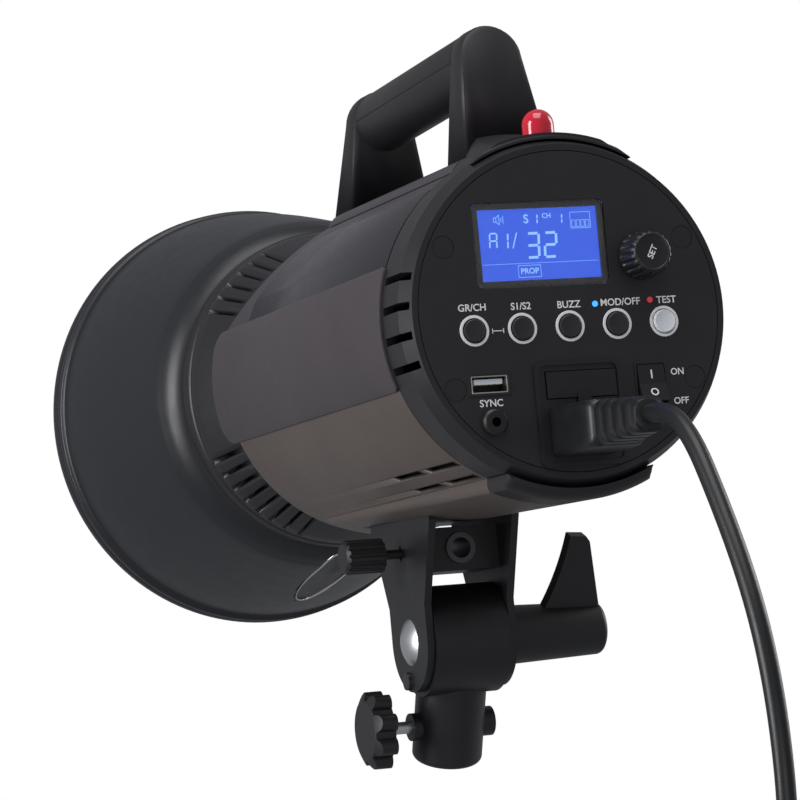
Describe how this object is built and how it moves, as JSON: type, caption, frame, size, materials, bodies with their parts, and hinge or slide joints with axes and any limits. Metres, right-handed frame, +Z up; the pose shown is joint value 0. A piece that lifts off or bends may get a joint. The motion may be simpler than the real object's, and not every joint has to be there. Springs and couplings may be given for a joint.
{
  "type": "studio flash head",
  "caption": "Studio flash head with a bell reflector, carrying handle, rear control panel with display, dial and buttons, tilting stand bracket and mains cord.",
  "frame": {"origin": "centre of the stand socket's mouth", "axes": "+Z up along the socket, +Y the way the light is thrown when level, +X to the right as seen from the control panel"},
  "size_m": [0.188, 0.6243, 0.3983],
  "materials": {
    "panel_black": "fine matt moulded face",
    "shell_plum": "dark purplish grey, satin",
    "ring_black": "satin moulded black",
    "side_skin": "fine-grained dark grey",
    "lower_brown": "warm brownish grey, matt",
    "handle_black": "satin moulded black",
    "label_dark": "smooth dark film",
    "dome_red": "clear red",
    "display_blue": "lit blue screen",
    "lens_clear": "clear cover",
    "board_green": "circuit board lacquer",
    "control_black": "satin black",
    "rocker_black": "glossy black",
    "button_dark": "satin dark grey",
    "button_white": "translucent white",
    "led_blue": "clear blue",
    "led_red": "clear red",
    "port_metal": "plated",
    "reflector_paint": "black paint, satin",
    "tube_glass": "clear glass",
    "base_white": "ceramic white",
    "chassis_metal": "bare sheet",
    "bracket_black": "black powder coat",
    "zinc": "zinc plated",
    "knob_black": "satin moulded black",
    "cord_black": "matt flexible sheath",
    "tie_black": "woven strap"
  },
  "bodies": {
    "stand": {"stand_barrel": "bracket_black"},
    "star_knob": {"star_knob": "knob_black", "star_screw": "zinc"},
    "lever": {"tilt_lever": "knob_black"},
    "umbrella_screw": {"umbrella_screw": "zinc"},
    "dial": {"set_dial": "control_black"},
    "rocker": {"rocker": "rocker_black"},
    "fuse_drawer": {"fuse_drawer": "control_black"},
    "reflector": {"reflector": "reflector_paint"},
    "button_1": {"button_1": "button_dark"},
    "button_2": {"button_2": "button_dark"},
    "button_3": {"button_3": "button_dark"},
    "button_4": {"button_4": "button_dark"},
    "button_5": {"button_5": "button_white"},
    "head": {"capacitors": "chassis_metal", "chassis_plate": "chassis_metal", "coil_tie": "tie_black", "control_board": "board_green", "control_panel": "panel_black", "cord_coil": "cord_black", "cord_tail": "cord_black", "cord_tube": "cord_black", "dial_encoder": "control_black", "display_bezel": "panel_black", "display_lens": "lens_clear", "display_module": "display_blue", "far_plug": "cord_black", "far_plug_pins": "zinc", "flash_tube": "tube_glass", "fork_bracket": "bracket_black", "front_collar": "ring_black", "grip_lower": "handle_black", "grip_upper": "handle_black", "handle_front_post": "handle_black", "handle_rear_post": "handle_black", "inlet_module": "control_black", "keel_pad": "lower_brown", "lamp_base": "base_white", "led_blue": "led_blue", "led_red": "led_red", "lower_shell": "lower_brown", "mains_plug": "cord_black", "modelling_lamp": "tube_glass", "mount_ring": "ring_black", "panel_caps": "ring_black", "plate_screw": "zinc", "rear_ring": "ring_black", "rocker_housing": "control_black", "side_label": "label_dark", "side_panel_left": "side_skin", "side_panel_right": "side_skin", "slave_dome": "dome_red", "sync_jack": "port_metal", "tilt_bolt": "zinc", "top_fairing": "shell_plum", "top_tray": "shell_plum", "umbrella_block": "bracket_black", "umbrella_bush": "zinc", "upper_shell": "shell_plum", "usb_port": "port_metal"}
  },
  "joints": [
    {"name": "head_tilt", "type": "hinge", "parent": "stand", "child": "head", "pos_m": [0, 0, 0.0515], "axis": [1, 0, 0], "range_deg": [-60, 100]},
    {"name": "tilt_lever_turn", "type": "hinge", "parent": "head", "child": "lever", "pos_m": [0, 0, 0.0515], "axis": [1, 0, 0], "range_deg": [0, 110]},
    {"name": "star_knob_turn", "type": "hinge", "parent": "stand", "child": "star_knob", "pos_m": [0, 0, 0.0148], "axis": [1, 0, 0], "continuous": true},
    {"name": "umbrella_screw_turn", "type": "hinge", "parent": "head", "child": "umbrella_screw", "pos_m": [0, 0.01583, 0.08365], "axis": [1, 0, 0], "continuous": true},
    {"name": "set_dial_turn", "type": "hinge", "parent": "head", "child": "dial", "pos_m": [0.0303, -0.08289, 0.23279], "axis": [0, 0.9171, -0.3987], "continuous": true},
    {"name": "rocker_tip", "type": "hinge", "parent": "head", "child": "rocker", "pos_m": [0.03025, -0.09755, 0.18502], "axis": [1, 0, 0], "range_deg": [0, 28]},
    {"name": "fuse_drawer_slide", "type": "slide", "parent": "head", "child": "fuse_drawer", "axis": [0, -0.9171, 0.3987], "range_m": [0, 0.012]},
    {"name": "reflector_turn", "type": "hinge", "parent": "head", "child": "reflector", "pos_m": [0, 0.15348, 0.1093], "axis": [0, -0.9171, 0.3987], "range_deg": [0, 34]},
    {"name": "button_1_press", "type": "slide", "parent": "head", "child": "button_1", "axis": [0, 0.9171, -0.3987], "range_m": [0, 0.0008], "stiffness_N_per_m": 600},
    {"name": "button_2_press", "type": "slide", "parent": "head", "child": "button_2", "axis": [0, 0.9171, -0.3987], "range_m": [0, 0.0008], "stiffness_N_per_m": 600},
    {"name": "button_3_press", "type": "slide", "parent": "head", "child": "button_3", "axis": [0, 0.9171, -0.3987], "range_m": [0, 0.0008], "stiffness_N_per_m": 600},
    {"name": "button_4_press", "type": "slide", "parent": "head", "child": "button_4", "axis": [0, 0.9171, -0.3987], "range_m": [0, 0.0008], "stiffness_N_per_m": 600},
    {"name": "button_5_press", "type": "slide", "parent": "head", "child": "button_5", "axis": [0, 0.9171, -0.3987], "range_m": [0, 0.0008], "stiffness_N_per_m": 600}
  ]
}
